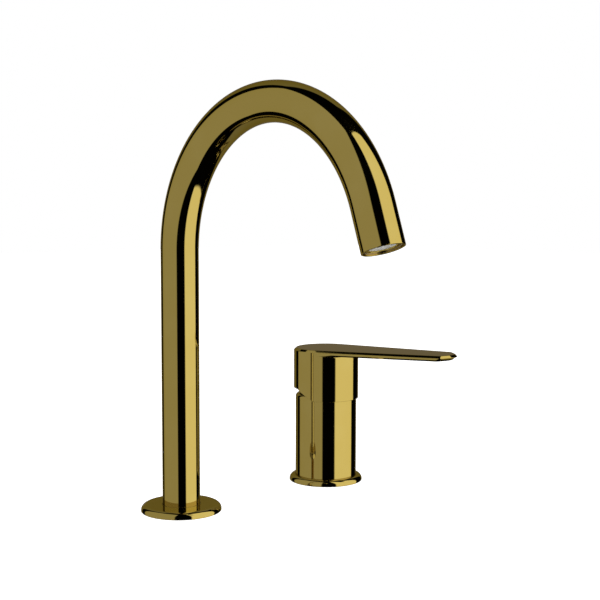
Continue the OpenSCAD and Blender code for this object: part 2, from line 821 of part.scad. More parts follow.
module lever_set_screw() {
    color(STEEL) at_lever() translate([-hub_r - 1.5, 0, set_screw_z]) rotate([0, 90, 0]) difference() {
        cylinder(r = set_screw_r, h = hub_r + 1.5 - stem_half);
        translate([0, 0, -overcut]) hexagon(set_screw_r, 2.5 + overcut);
    }
}

module index_cap() {
    color(GOLD) at_lever() intersection() {
        translate([-skirt_r - overcut, 0, set_screw_z]) rotate([0, 90, 0])
            cylinder(r = index_cap_r, h = skirt_wall + overcut);
        translate([0, 0, hub_z]) cylinder(r = skirt_r + 0.2, h = stem_top - hub_z);
    }
}

spout_tube();
spout_bush();
outlet_ring();
aerator_housing();
flow_straightener();
aerator_seal();
spout_grub_screw();
spout_flange();
swivel_foot();
foot_seal();
journal_seals();
glide_ring();
spout_pad();
spout_washer();
spout_nut();
control_body();
control_flange();
body_seal();
cartridge_base();
port_seals();
cartridge_housing();
fixed_disc();
moving_disc();
disc_slider();
cartridge_rotor();
pivot_pin();
lever_stem();
cartridge_nut();
nut_cover();
lever_handle();
lever_set_screw();
index_cap();
clamp_stud();
clamp_pad();
clamp_plate();
stud_nut();
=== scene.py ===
import math

import bmesh
import bpy
from mathutils import Matrix, Vector


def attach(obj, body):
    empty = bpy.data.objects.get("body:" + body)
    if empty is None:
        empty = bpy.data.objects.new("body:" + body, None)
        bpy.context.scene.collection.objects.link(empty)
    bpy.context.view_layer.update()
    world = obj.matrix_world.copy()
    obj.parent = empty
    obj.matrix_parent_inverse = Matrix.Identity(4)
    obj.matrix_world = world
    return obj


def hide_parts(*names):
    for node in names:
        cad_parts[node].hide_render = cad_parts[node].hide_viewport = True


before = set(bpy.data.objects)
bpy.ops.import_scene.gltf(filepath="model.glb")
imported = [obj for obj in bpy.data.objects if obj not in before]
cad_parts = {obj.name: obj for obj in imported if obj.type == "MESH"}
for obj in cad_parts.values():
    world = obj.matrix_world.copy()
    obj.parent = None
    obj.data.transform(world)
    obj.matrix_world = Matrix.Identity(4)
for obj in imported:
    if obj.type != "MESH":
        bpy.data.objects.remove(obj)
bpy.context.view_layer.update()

# ---- Camera ----
# A short telephoto lens at the height of the arch, on the basin's side, so that the post
# and the body stay upright and the lever shows a sliver of its flat top.
MM = 0.001


def mm(*sizes):
    """Sizes in millimetres, in metres."""
    return [size * MM for size in sizes]


camera_place = Vector((-503.5, -693.0, 229.2)) * MM
camera_turn = math.radians(-41.928)
camera_pitch = math.radians(4.8)
camera_roll = math.radians(0.1)


def in_scene(name, data):
    """A new object in the scene."""
    new = bpy.data.objects.new(name, data)
    bpy.context.scene.collection.objects.link(new)
    return new


lens = bpy.data.cameras.new("camera")
lens.sensor_width = 36
lens.lens = 69.57
lens.clip_start = 0.01
lens.clip_end = 100
camera = in_scene("camera", lens)
camera.matrix_world = (
    Matrix.Translation(camera_place)
    @ Matrix.Rotation(camera_turn, 4, "Z")
    @ Matrix.Rotation(math.pi / 2 - camera_pitch, 4, "X")
    @ Matrix.Rotation(camera_roll, 4, "Z")
)
bpy.context.scene.camera = camera

# ---- Swan-neck tube ----
# A seamless brass tube, bent cold over a former in one half-round sweep, then polished to
# a mirror and coated in gold. Its wall shows only at the mouth, where the cut is rounded,
# and a hole drilled low in its back lets the grub screw through.
GOLD = (0.625, 0.468, 0.119, 1)
GOLD_PALE = (0.645, 0.49, 0.135, 1)
# For light that the gold has coloured once already, and for the sheen at its rims.
GOLD_AGAIN = (0.66, 0.62, 0.5, 1)
GOLD_RIM = (0.72, 0.6, 0.34, 1)
tube_r, tube_bore_r = mm(14, 12.5)
tube_foot_z, post_top_z = mm(4.25, 194)
bend_r, bend_angle, outlet_len = 102 * MM, math.radians(161), 28 * MM
mouth_round = 0.5 * MM
grub_r, grub_z = mm(2, 15.2)


def link(tree, value, socket):
    """Feeds a socket from another socket, or gives it a plain value."""
    if isinstance(value, bpy.types.NodeSocket):
        tree.links.new(value, socket)
    else:
        socket.default_value = value


def node(tree, kind, *values, **named):
    """A new node. Plain values and sockets go into its inputs, in order or by name."""
    new = tree.nodes.new(kind)
    for value, socket in zip(values, new.inputs):
        link(tree, value, socket)
    for label, value in named.items():
        link(tree, value, new.inputs[label.replace("_", " ")])
    return new


class Sums:
    """Arithmetic in a node tree, one node for each step: Sums(tree).add(a, b)."""
    def __init__(self, tree):
        self.tree = tree

    def __getattr__(self, operation):
        def step(*values):
            made = node(self.tree, "ShaderNodeMath", *values)
            made.operation = operation.upper()
            return made.outputs[0]
        return step


def axes_of(tree, place=None):
    """The x, y and z of a vector, or of each point where none is given."""
    if place is None:
        place = tree.nodes.new("GeometryNodeInputPosition").outputs[0]
    return node(tree, "ShaderNodeSeparateXYZ", place).outputs


def noise(tree, place, scale, detail=2, rough=0.5):
    """A soft random value over the surface, between about 0.3 and 0.7."""
    return node(
        tree, "ShaderNodeTexNoise", Vector=place, Scale=scale, Detail=detail, Roughness=rough,
    ).outputs["Fac"]


def spread(tree, value, low, high, to_low, to_high, kind="LINEAR"):
    """Stretches a value from one range to another, clamped."""
    step = node(tree, "ShaderNodeMapRange", value, low, high, to_low, to_high)
    step.interpolation_type = kind
    return step.outputs[0]


def effect(name, inputs, outputs):
    """An empty shader group with named sockets, and its two ends."""
    tree = bpy.data.node_groups.new(name, "ShaderNodeTree")
    for label, kind in inputs:
        tree.interface.new_socket(label, in_out="INPUT", socket_type=kind)
    for label in outputs:
        tree.interface.new_socket(label, in_out="OUTPUT", socket_type="NodeSocketFloat")
    return tree, tree.nodes.new("NodeGroupInput").outputs, tree.nodes.new("NodeGroupOutput").inputs


def handling_marks():
    """Faint wiping haze and hair-fine polishing lines, as values over the surface."""
    tree, given, out = effect(
        "handling marks",
        (("Place", "NodeSocketVector"), ("Haze Scale", "NodeSocketFloat")),
        ("Haze", "Lines"),
    )
    cloud = noise(tree, given["Place"], given["Haze Scale"], 4)
    tree.links.new(spread(tree, cloud, 0.48, 0.72, 0, 1), out["Haze"])
    drawn = node(tree, "ShaderNodeMapping", Vector=given["Place"], Scale=(1, 1, 14))
    tree.links.new(noise(tree, drawn.outputs[0], 260, 3, 0.6), out["Lines"])
    return tree


marks = handling_marks()


def new_material(name, colour, roughness, metallic=0, **more):
    """A material whose constant values stand on the shader's own sockets."""
    material = bpy.data.materials.new(name)
    material.use_nodes = True
    material.diffuse_color = colour
    shader = material.node_tree.nodes["Principled BSDF"]
    values = {"Base_Color": colour, "Roughness": roughness, "Metallic": metallic, **more}
    for label, value in values.items():
        shader.inputs[label.replace("_", " ")].default_value = value
    return material, material.node_tree, shader


def place_of(tree, axis=(0, 0, 0)):
    """The point on the object in metres, from an upright axis where one is given."""
    place = tree.nodes.new("ShaderNodeTexCoord").outputs["Object"]
    if not any(axis):
        return place
    return node(tree, "ShaderNodeMapping", Vector=place, Location=[-v for v in axis]).outputs[0]


def use(tree, group, **values):
    """Places a shared effect in a material with its own values."""
    placed = tree.nodes.new("ShaderNodeGroup")
    placed.node_tree = group
    for label, value in values.items():
        link(tree, value, placed.inputs[label.replace("_", " ")])
    return placed.outputs


def tint(tree, shader, amount, colour, other):
    """Lets the base colour go from one colour to another by an amount, and gives the result."""
    mix = tree.nodes.new("ShaderNodeMix")
    mix.data_type = "RGBA"
    for label, value in (("Factor", amount), ("A", colour), ("B", other)):
        link(tree, value, mix.inputs[label])
    tree.links.new(mix.outputs["Result"], shader.inputs["Base Color"])
    return mix.outputs["Result"]


def sheen(tree, shader, value, low, high, smoothest, roughest):
    """Lets the roughness follow a value over the surface."""
    tree.links.new(spread(tree, value, low, high, smoothest, roughest), shader.inputs["Roughness"])


def relief(tree, shader, height, strength, distance):
    """A shallow bump of the surface."""
    bump = node(tree, "ShaderNodeBump", Strength=strength, Distance=distance, Height=height)
    tree.links.new(bump.outputs["Normal"], shader.inputs["Normal"])


def polished_gold():
    """Mirror-polished gold coating with the least wiping haze. Light that comes from another
    polished surface isn't coloured as deeply a second time."""
    material, tree, shader = new_material("polished gold", GOLD, 0.05, 1, Specular_Tint=GOLD_RIM)
    used = use(tree, marks, Place=place_of(tree), Haze_Scale=34)
    hazy = tint(tree, shader, used["Haze"], GOLD, GOLD_PALE)
    reflected = tree.nodes.new("ShaderNodeLightPath").outputs["Is Glossy Ray"]
    tint(tree, shader, reflected, hazy, GOLD_AGAIN)
    sheen(tree, shader, used["Haze"], 0, 1, 0.045, 0.085)
    relief(tree, shader, used["Lines"], 0.02, 0.00002)
    return material


gold = polished_gold()


def new_piece(name, vertices, faces, material):
    """A closed shell from points and faces: doubles merged, faces outward."""
    mesh = bpy.data.meshes.new(name)
    mesh.from_pydata([tuple(v) for v in vertices], [], faces)
    mesh.materials.append(material)
    piece = in_scene(name, mesh)
    close_shell(piece)
    return piece


def close_shell(piece):
    """Merges a rolled-up surface's seams and turns its faces outward."""
    shell = bmesh.new()
    shell.from_mesh(piece.data)
    bmesh.ops.remove_doubles(shell, verts=shell.verts, dist=2e-7)
    bmesh.ops.dissolve_degenerate(shell, edges=shell.edges, dist=1e-7)
    bmesh.ops.recalc_face_normals(shell, faces=shell.faces)
    shell.to_mesh(piece.data)
    shell.free()


def plain(piece):
    """Makes a piece and its modifiers one plain mesh."""
    graph = bpy.context.evaluated_depsgraph_get()
    solid = piece.evaluated_get(graph)
    mesh = bpy.data.meshes.new_from_object(solid, preserve_all_data_layers=True, depsgraph=graph)
    mesh.name = piece.name
    piece.modifiers.clear()
    piece.data = mesh


def smooth(piece, crease=38):
    """Polished surfaces run smoothly into their roundings; real edges stay crisp."""
    piece.data.shade_smooth()
    piece.data.set_sharp_from_angle(angle=math.radians(crease))
    even = piece.modifiers.new("even", "WEIGHTED_NORMAL")
    even.keep_sharp = True
    even.weight = 100
    plain(piece)


def fitted(piece, body, node):
    """Puts a finished piece on its body in place of its plain solid."""
    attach(piece, body)
    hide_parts(node)


def finished(piece, body, node_name, crease=38):
    """Smooths a piece whose shape is done, and fits it."""
    smooth(piece, crease)
    fitted(piece, body, node_name)


def steps(start, end, count):
    """Evenly spaced numbers from start to end, both included."""
    return [start + (end - start) * i / count for i in range(count + 1)]


def rolled_grid(tree, given):
    """A grid whose rows stand for the points of a section and whose columns run round it.
    Gives the grid, each point's section values and its angle in one full turn."""
    held = node(tree, "GeometryNodeAttributeDomainSize", Geometry=given["Section"])
    rows = held.outputs["Point Count"]
    grid = node(
        tree, "GeometryNodeMeshGrid", Size_X=1, Size_Y=1,
        Vertices_X=rows, Vertices_Y=given["Columns"],
    )
    at = axes_of(tree)
    do = Sums(tree)
    across = do.multiply(do.add(at["X"], 0.5), do.subtract(rows, 1))
    picked = tree.nodes.new("GeometryNodeSampleIndex")
    picked.data_type = "FLOAT_VECTOR"
    spot = tree.nodes.new("GeometryNodeInputPosition").outputs[0]
    row = do.round(across)
    for label, value in (("Geometry", given["Section"]), ("Value", spot), ("Index", row)):
        link(tree, value, picked.inputs[label])
    round_by = do.multiply(do.add(at["Y"], 0.5), math.tau)
    return grid.outputs["Mesh"], axes_of(tree, picked.outputs[0]), round_by


def maker_tree(name, inputs):
    """An empty geometry tree with named sizes, a section to start from and a material."""
    tree = bpy.data.node_groups.new(name, "GeometryNodeTree")
    tree.interface.new_socket("Section", in_out="INPUT", socket_type="NodeSocketGeometry")
    for label, kind in inputs:
        tree.interface.new_socket(label, in_out="INPUT", socket_type="NodeSocket" + kind)
    tree.interface.new_socket("Material", in_out="INPUT", socket_type="NodeSocketMaterial")
    tree.interface.new_socket("Piece", in_out="OUTPUT", socket_type="NodeSocketGeometry")
    return tree, tree.nodes.new("NodeGroupInput").outputs


def moved_to(tree, grid, x, y, z):
    """Moves every point of a grid to the place that three values give."""
    joined = node(tree, "ShaderNodeCombineXYZ", x, y, z)
    moved = node(tree, "GeometryNodeSetPosition", Geometry=grid, Position=joined.outputs[0])
    return moved.outputs[0]


def made_real(tree, given, mesh):
    """The last steps of every geometry tree: real meshes with their material."""
    real = node(tree, "GeometryNodeRealizeInstances", mesh)
    material = given["Material"]
    coated = node(tree, "GeometryNodeSetMaterial", Geometry=real.outputs[0], Material=material)
    link(tree, coated.outputs[0], tree.nodes.new("NodeGroupOutput").inputs[0])
    return tree


def bent_pipe():
    """The rule of the swan neck: a wall's section, given by its distances along the pipe and
    from its centre line, is turned round a line that runs up, over the bend and down."""
    tree, given = maker_tree("bent pipe", (
        ("Columns", "Int"), ("Foot Height", "Float"), ("Post Length", "Float"),
        ("Bend Radius", "Float"), ("Bend Angle", "Float"),
    ))
    grid, wall, round_by = rolled_grid(tree, given)
    along, out = wall["X"], wall["Y"]
    radius, angle, post = given["Bend Radius"], given["Bend Angle"], given["Post Length"]
    do = Sums(tree)
    risen = do.minimum(along, post)
    past_post = do.subtract(along, post)
    turned_by = do.maximum(do.divide(past_post, radius), 0)
    turned_by = do.minimum(turned_by, angle)
    past_bend = do.subtract(past_post, do.multiply(radius, angle))
    past_bend = do.maximum(past_bend, 0)
    cosine, sine = do.cosine(turned_by), do.sine(turned_by)
    outward = do.multiply(out, do.cosine(round_by))
    sideways = do.multiply(out, do.sine(round_by))
    reach = do.add(radius, outward)
    y = do.subtract(do.multiply(reach, cosine), radius)
    y = do.subtract(y, do.multiply(past_bend, sine))
    z = do.add(do.multiply(reach, sine), given["Foot Height"])
    z = do.add(do.add(z, risen), do.multiply(past_bend, cosine))
    return made_real(tree, given, moved_to(tree, grid, sideways, y, z))


def wire(name, points):
    """A section as a run of points joined by edges."""
    mesh = bpy.data.meshes.new(name)
    runs = [(i, i + 1) for i in range(len(points) - 1)]
    mesh.from_pydata([(*p, 0)[:3] for p in points], runs, [])
    return in_scene(name, mesh)


def made_by(tree, piece, **values):
    """Gives a piece its node tree and the named sizes, then makes the result one closed mesh."""
    maker = piece.modifiers.new(tree.name, "NODES")
    maker.node_group = tree
    for item in tree.interface.items_tree:
        label = item.name.replace(" ", "_")
        if item.in_out == "INPUT" and label in values:
            maker[item.identifier] = values[label]
    plain(piece)
    close_shell(piece)


def turned(name, section, material, centre=(0, 0, 0), columns=256, way=None):
    """Turns a closed section of radii and heights round an upright axis. Where the section
    is a rule, it gives the radii and heights at each angle, as for a nut's flats."""
    rule = section if callable(section) else lambda angle: section
    count = len(rule(0))
    vertices = []
    for c in range(columns):
        angle = math.tau * c / columns
        vertices += [Vector((r * math.cos(angle), r * math.sin(angle), z)) for r, z in rule(angle)]
    if way:
        vertices = [way @ v for v in vertices]
    vertices = [v + Vector(centre) for v in vertices]
    faces = []
    for c in range(columns):
        here, there = c * count, (c + 1) % columns * count
        for i in range(count):
            j = (i + 1) % count
            faces.append((here + i, there + i, there + j, here + j))
    return new_piece(name, vertices, faces, material)


def rod(material, radius, low, high, centre=(0, 0, 0), way=None, columns=64):
    """A round rod, as the cutter for a drilled hole."""
    section = [(0, low), (radius, low), (radius, high), (0, high)]
    return turned("cutter", section, material, centre, columns, way)


def drilled(piece, cutters):
    """Cuts holes out of a piece and takes the cutters away."""
    for cutter in cutters:
        cut = piece.modifiers.new("drill", "BOOLEAN")
        cut.operation = "DIFFERENCE"
        cut.solver = "EXACT"
        cut.object = cutter
    plain(piece)
    for cutter in cutters:
        bpy.data.objects.remove(cutter)


def true_round(piece, radius, near):
    """Keeps a drilled mirror surface even: on the round face of this radius, near its hole,
    the face's own roundness stands in for the normals worked out from the cut faces."""
    mesh = piece.data
    normals = [corner.vector.copy() for corner in mesh.corner_normals]
    for face in mesh.polygons:
        for i in face.loop_indices:
            point = mesh.vertices[mesh.loops[i].vertex_index].co
            out = Vector((point.x, point.y, 0))
            on_face = abs(out.length - radius) < 0.02 * MM
            if near(point) and on_face and face.normal.dot(out) > 0.9 * out.length:
                normals[i] = out.normalized()
    mesh.normals_split_custom_set(normals)


post_len = post_top_z - tube_foot_z
bend_len = bend_r * bend_angle
tube_len = post_len + bend_len + outlet_len
outer_run = (
    steps(mouth_round, post_len, 30)
    + steps(post_len, post_len + bend_len, 160)[1:]
    + steps(post_len + bend_len, tube_len - mouth_round, 8)[1:]
)
mid_r, half_wall = (tube_r + tube_bore_r) / 2, (tube_r - tube_bore_r) / 2


def lip(length, way):
    """The rounded cut of the tube's wall, from outside to inside or back."""
    turns = [math.pi * i / 12 for i in range(1, 12)]
    return [(length + way * mouth_round * math.sin(t), mid_r + way * half_wall * math.cos(t))
            for t in turns]


section = [(s, tube_r) for s in outer_run]
section += lip(tube_len - mouth_round, 1)
section += [(s, tube_bore_r) for s in reversed(outer_run)]
section += lip(mouth_round, -1)
section.append(section[0])
swan_neck = wire("swan_neck", section)
made_by(
    bent_pipe(), swan_neck, Columns=121, Foot_Height=tube_foot_z, Post_Length=post_len,
    Bend_Radius=bend_r, Bend_Angle=bend_angle, Material=gold,
)
to_back = Matrix.Rotation(-math.pi / 2, 4, "X")
drilled(swan_neck, [rod(gold, grub_r + 0.05 * MM, 10 * MM, 16 * MM, (0, 0, grub_z), to_back)])
smooth(swan_neck)
true_round(swan_neck, tube_r, lambda point: point.z < 40 * MM)
fitted(swan_neck, "spout", "spout_tube")

# ---- Grub screw and bush of the post ----
# A brass bush inside the tube turns on the journal. A stainless grub screw with a hexagon
# socket goes through tube and bush from the back, and its plain tip runs in the stop groove.
STEEL = (0.6, 0.61, 0.63, 1), (0.5, 0.51, 0.53, 1)
BRASS = (0.62, 0.47, 0.22, 1), (0.5, 0.36, 0.15, 1)
grub_tip, grub_shoulder, grub_end = mm(8.38, 10.15, 13.6)
grub_pitch, grub_tip_r = mm(0.7, 1.3)


def tool_marks():
    """Fine rings that a turning tool leaves round an upright axis, and a slow drift of tone."""
    tree, given, out = effect(
        "tool marks",
        (("Place", "NodeSocketVector"), ("Ring Scale", "NodeSocketFloat")),
        ("Rings", "Drift"),
    )
    x, y, z = axes_of(tree, given["Place"])
    do = Sums(tree)
    squared = do.add(do.multiply(x, x), do.multiply(y, y))
    joined = node(tree, "ShaderNodeCombineXYZ", do.sqrt(squared), 0, z)
    tree.links.new(noise(tree, joined.outputs[0], given["Ring Scale"], 3, 0.7), out["Rings"])
    tree.links.new(spread(tree, noise(tree, given["Place"], 60, 3), 0.35, 0.65, 0, 1), out["Drift"])
    return tree


rings = tool_marks()


def satin_metal(name, colours, axis, rough=0.28):
    """Turned metal with fine rings round its own axis."""
    material, tree, shader = new_material(name, colours[0], rough, 1)
    used = use(tree, rings, Place=place_of(tree, axis), Ring_Scale=2600)
    tint(tree, shader, used["Drift"], *colours)
    sheen(tree, shader, used["Rings"], 0.3, 0.7, rough - 0.07, rough + 0.1)
    relief(tree, shader, used["Rings"], 0.25, 0.00003)
    return material


control_axis = Vector((148, 0, 0)) * MM
spout_brass = satin_metal("turned brass at the spout", BRASS, (0, 0, 0))
spout_steel = satin_metal("turned steel at the spout", STEEL, (0, 0, 0))


def threaded_bar():
    """The rule of a screw thread: a section of heights and radii is turned round the bar,
    and a rising ridge is cut into it as deep as the section's third value says."""
    sizes = (("Columns", "Int"), ("Pitch", "Float"), ("Depth", "Float"))
    tree, given = maker_tree("threaded bar", sizes)
    grid, wall, round_by = rolled_grid(tree, given)
    do = Sums(tree)
    turns = do.divide(wall["X"], given["Pitch"])
    phase = do.subtract(turns, do.divide(round_by, math.tau))
    phase = do.fract(phase)
    flank = do.absolute(do.subtract(do.multiply(phase, 2), 1))
    cut = spread(tree, flank, 0.12, 0.88, 0, given["Depth"])
    cut = do.multiply(cut, wall["Z"])
    out = do.subtract(wall["Y"], cut)
    x = do.multiply(out, do.cosine(round_by))
    y = do.multiply(out, do.sine(round_by))
    return made_real(tree, given, moved_to(tree, grid, x, y, wall["X"]))


thread_maker = threaded_bar()


def thread_rows(low, high, radius, pitch):
    """The rows of a threaded length, whose cut runs out over 0.8 of a turn at both ends."""
    rows = steps(low, high, max(2, round((high - low) / pitch * 8)))
    return [(z, radius, max(0, min(1, (z - low) / pitch / 0.8, (high - z) / pitch / 0.8)))
            for z in rows]


def threaded(name, section, material, pitch, depth, columns=49):
    """A threaded piece, upright at the origin, from its closed section."""
    piece = wire(name, section)
    made_by(thread_maker, piece, Columns=columns, Pitch=pitch, Depth=depth, Material=material)
    return piece


def hexagon_cutter(across_flats, low, high, material, way=None):
    """A six-sided cutter, as for the socket of a screw."""
    return rod(material, across_flats / math.sqrt(3), low, high, way=way, columns=6)


def grub_screw(name, radius, low, high, pitch, depth, tip, material):
    """A headless screw with a hexagon socket in its upper end. The tip is given as rows."""
    cup = 0.12 * radius
    section = [*tip, *thread_rows(low, high - cup, radius, pitch), (high, radius - cup), (high, 0)]
    piece = threaded(name, section, material, pitch, depth)
    drilled(piece, [hexagon_cutter(radius, high - 0.9 * radius, high + MM, material)])
    return piece


spout_screw = grub_screw(
    "spout_screw", grub_r, grub_shoulder, grub_end, grub_pitch, 0.3 * MM,
    [(grub_tip, 0), (grub_tip, grub_tip_r - 0.2 * MM), (grub_tip + 0.2 * MM, grub_tip_r),
     (grub_shoulder, grub_tip_r), (grub_shoulder, grub_r - 0.25 * MM)],
    spout_steel,
)
spout_screw.data.transform(Matrix.Translation((0, 0, grub_z)) @ to_back)
finished(spout_screw, "spout", "spout_grub_screw")


def finish_as(material, *names):
    """Gives solids whose shape is right their real finish."""
    for name in names:
        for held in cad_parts[name].material_slots:
            held.material = material


finish_as(spout_brass, "spout_bush")

# ---- Outlet and aerator ----
# A brass ring brazed into the mouth carries the aerator: a gold-coated housing, a moulded
# plate of small round holes that straightens the water, and a flat rubber seal above it.
aerator_setback = 1.2 * MM
ring_r, ring_bore_r, ring_len = mm(12.43, 11.03, 13.1)
ring_shoulder_r, ring_shoulder_t = mm(9.23, 1.5)
housing_r, housing_bore_r, housing_len = mm(10.98, 9.68, 10)
housing_lip_r, housing_lip_t = mm(8.98, 1)
plate_r, plate_t, hole_d, hole_pitch = mm(9.63, 4, 1.7, 2.5)
washer_bore_r, washer_t = mm(8.78, 1.6)
NYLON = (0.8, 0.8, 0.76, 1), (0.74, 0.72, 0.64, 1)
RUBBER = (0.03, 0.03, 0.033, 1), (0.055, 0.054, 0.052, 1)

flow, side = Vector((0, -math.sin(bend_angle), math.cos(bend_angle))), Vector((-1, 0, 0))
mouth = Vector((
    0,
    bend_r * (math.cos(bend_angle) - 1) - outlet_len * math.sin(bend_angle),
    post_top_z + bend_r * math.sin(bend_angle) + outlet_len * math.cos(bend_angle),
))
to_mouth = Matrix.Translation(mouth) @ Matrix((side.cross(flow), side, flow)).transposed().to_4x4()


def moulded(name, colours, rough, cloud, cloud_range, grain, rough_range, bump):
    """A moulded material: its tone drifts in faint clouds, and a fine grain breaks its sheen."""
    material, tree, shader = new_material(name, colours[0], rough)
    place = place_of(tree)
    tint(tree, shader, spread(tree, noise(tree, place, *cloud), *cloud_range, 0, 1), *colours)
    grain = noise(tree, place, *grain)
    sheen(tree, shader, grain, 0.3, 0.7, *rough_range)
    relief(tree, shader, grain, *bump)
    return material


# Off-white plastic with flow marks and an eroded grain, and black rubber dusted with talc.
nylon = moulded(
    "moulded nylon", NYLON, 0.42, cloud=(55, 4, 0.6), cloud_range=(0.35, 0.7),
    grain=(2400, 2), rough_range=(0.36, 0.5), bump=(0.15, 0.00003),
)
rubber = moulded(
    "black rubber", RUBBER, 0.75, cloud=(300, 5, 0.7), cloud_range=(0.5, 0.75),
    grain=(1800, 3), rough_range=(0.66, 0.86), bump=(0.3, 0.00004),
)


def corner(r, z, rounding, first, last, count=8):
    """A rounded corner of a turned section: an arc about its centre, by start and end angle."""
    turns = [math.radians(first + (last - first) * i / count) for i in range(count + 1)]
    return [(r + rounding * math.cos(t), z + rounding * math.sin(t)) for t in turns]


def ring_section(inner, outer, low, high, rounding, count=4):
    """A plain ring's section with its four corners rounded."""
    a, b = inner + rounding, outer - rounding
    low, high = low + rounding, high - rounding
    corners = ((b, low, -90, 0), (b, high, 0, 90), (a, high, 90, 180), (a, low, 180, 270))
    return [point for r, z, *turns in corners for point in corner(r, z, rounding, *turns, count)]


ring_top, soft = -aerator_setback - ring_len, 0.3 * MM
mouth_ring = turned("mouth_ring", [
    (ring_shoulder_r, ring_top), (ring_r, ring_top),
    *corner(ring_r - soft, -aerator_setback - soft, soft, 0, 90, 4),
    *corner(ring_bore_r + soft, -aerator_setback - soft, soft, 90, 180, 4),
    (ring_bore_r, ring_top + ring_shoulder_t), (ring_shoulder_r, ring_top + ring_shoulder_t),
], spout_brass, columns=160, way=to_mouth)
finished(mouth_ring, "spout", "outlet_ring")

housing_top = -aerator_setback - housing_len
lip_z = -aerator_setback - housing_lip_t
housing_break, housing_round = mm(0.2, 0.35)
aerator = turned("aerator", [
    (housing_bore_r, housing_top), (housing_r - housing_break, housing_top),
    (housing_r, housing_top + housing_break),
    *corner(housing_r - housing_round, -aerator_setback - housing_round, housing_round, 0, 90, 6),
    *corner(housing_lip_r + soft, -aerator_setback - soft, soft, 90, 180, 6),
    (housing_lip_r, lip_z), (housing_bore_r, lip_z),
], gold, columns=160, way=to_mouth)
finished(aerator, "spout", "aerator_housing")


def holed_plate():
    """The rule of the straightener: rows of round holes on a triangular grid are cut from a
    plate, in as many rings round the middle one as the count says."""
    tree, given = maker_tree("holed plate", (
        ("Rings", "Int"), ("Pitch", "Float"), ("Hole", "Float"), ("Length", "Float"),
    ))
    do = Sums(tree)
    pitch, span = given["Pitch"], do.multiply(given["Rings"], 2)
    size = do.add(span, 1)
    grid = node(
        tree, "GeometryNodeMeshGrid", Vertices_X=size, Vertices_Y=size, Size_X=span, Size_Y=span,
    )
    at = axes_of(tree)
    leaned = do.add(at["X"], do.multiply(at["Y"], 0.5))
    row_gap = do.multiply(pitch, math.sin(math.radians(60)))
    x, y = do.multiply(leaned, pitch), do.multiply(at["Y"], row_gap)
    places = moved_to(tree, grid.outputs["Mesh"], x, y, 0)
    spot = tree.nodes.new("GeometryNodeInputPosition").outputs[0]
    far = node(tree, "ShaderNodeVectorMath", spot)
    far.operation = "LENGTH"
    limit = do.multiply(do.add(given["Rings"], 0.05), pitch)
    outside = do.greater_than(far.outputs["Value"], limit)
    kept = node(tree, "GeometryNodeDeleteGeometry", Geometry=places, Selection=outside)
    pin_r = do.multiply(given["Hole"], 0.5)
    pin = node(tree, "GeometryNodeMeshCylinder", Vertices=24, Radius=pin_r, Depth=given["Length"])
    pins = node(
        tree, "GeometryNodeInstanceOnPoints", Points=kept.outputs[0], Instance=pin.outputs["Mesh"],
    )
    real = node(tree, "GeometryNodeRealizeInstances", pins.outputs[0])
    cut = tree.nodes.new("GeometryNodeMeshBoolean")
    cut.operation = "DIFFERENCE"
    link(tree, given["Section"], cut.inputs["Mesh 1"])
    link(tree, real.outputs[0], cut.inputs["Mesh 2"])
    return made_real(tree, given, cut.outputs["Mesh"])


half_plate, plate_round = plate_t / 2, 0.25 * MM
straightener = turned("straightener", [
    (0, -half_plate),
    *corner(plate_r - plate_round, -half_plate + plate_round, plate_round, -90, 0, 3),
    *corner(plate_r - plate_round, half_plate - plate_round, plate_round, 0, 90, 3),
    (0, half_plate),
], nylon, columns=96)
made_by(
    holed_plate(), straightener, Rings=3, Pitch=hole_pitch, Hole=hole_d, Length=2 * plate_t,
    Material=nylon,
)
straightener.data.transform(to_mouth @ Matrix.Translation((0, 0, lip_z - half_plate)))
finished(straightener, "spout", "flow_straightener")

washer_section = ring_section(
    washer_bore_r, housing_r, housing_top - washer_t, housing_top, 0.2 * MM,
)
mouth_washer = turned("mouth_washer", washer_section, rubber, columns=128, way=to_mouth)
finished(mouth_washer, "spout", "aerator_seal")

# ---- Swivel foot ----
# One turned brass piece: a journal that the spout turns on, a collar that bears on the
# deck, and a threaded shank below it. Rubber rings seal it and a nylon ring bears the tube.
shank_r, shank_end, collar_r, collar_h = mm(12, -57, 22, 3.2)
journal_r, journal_top, waterway_r = mm(9.78, 47.2, 6)
port_r, port_top = mm(7.6, -44)
seal_groove_r, seal_groove_half, seal_z = 7.88 * MM, 1.2 * MM, (36.2 * MM, 43.2 * MM)
foot_seal_r, foot_seal_half, foot_seal_depth = mm(19.75, 1.05, 2.05)
stop_r, stop_half, stop_turn = 8.18 * MM, 1.5 * MM, 70.15
shank_pitch, shank_cut = mm(1.5, 0.85)
glide_r, glide_t = mm(13.8, 1)

edge, shank_tip, journal_tip, thread_top = mm(0.3, 0.9, 0.8, -3)
seal_in, seal_out = foot_seal_r - foot_seal_half, foot_seal_r + foot_seal_half
foot_section = [
    (shank_end, port_r + edge), (shank_end, shank_r - shank_tip),
    *thread_rows(shank_end + shank_tip, thread_top, shank_r, shank_pitch),
    (0, shank_r), (0, seal_in), (foot_seal_depth, seal_in), (foot_seal_depth, seal_out),
    (0, seal_out), (0, collar_r - edge), (edge, collar_r), (collar_h - edge, collar_r),
    (collar_h, collar_r - edge), (collar_h, journal_r),
]
for z in seal_z:
    low, high = z - seal_groove_half, z + seal_groove_half
    foot_section += [
        (low, journal_r), (low, seal_groove_r), (high, seal_groove_r), (high, journal_r),
    ]
foot_section += [
    (journal_top - journal_tip, journal_r), (journal_top, journal_r - journal_tip),
    (journal_top, waterway_r + edge), (journal_top - edge, waterway_r), (port_top, waterway_r),
    (port_top, port_r), (shank_end + edge, port_r), (shank_end, port_r + edge),
]
foot = threaded("foot", foot_section, spout_brass, shank_pitch, shank_cut, 97)


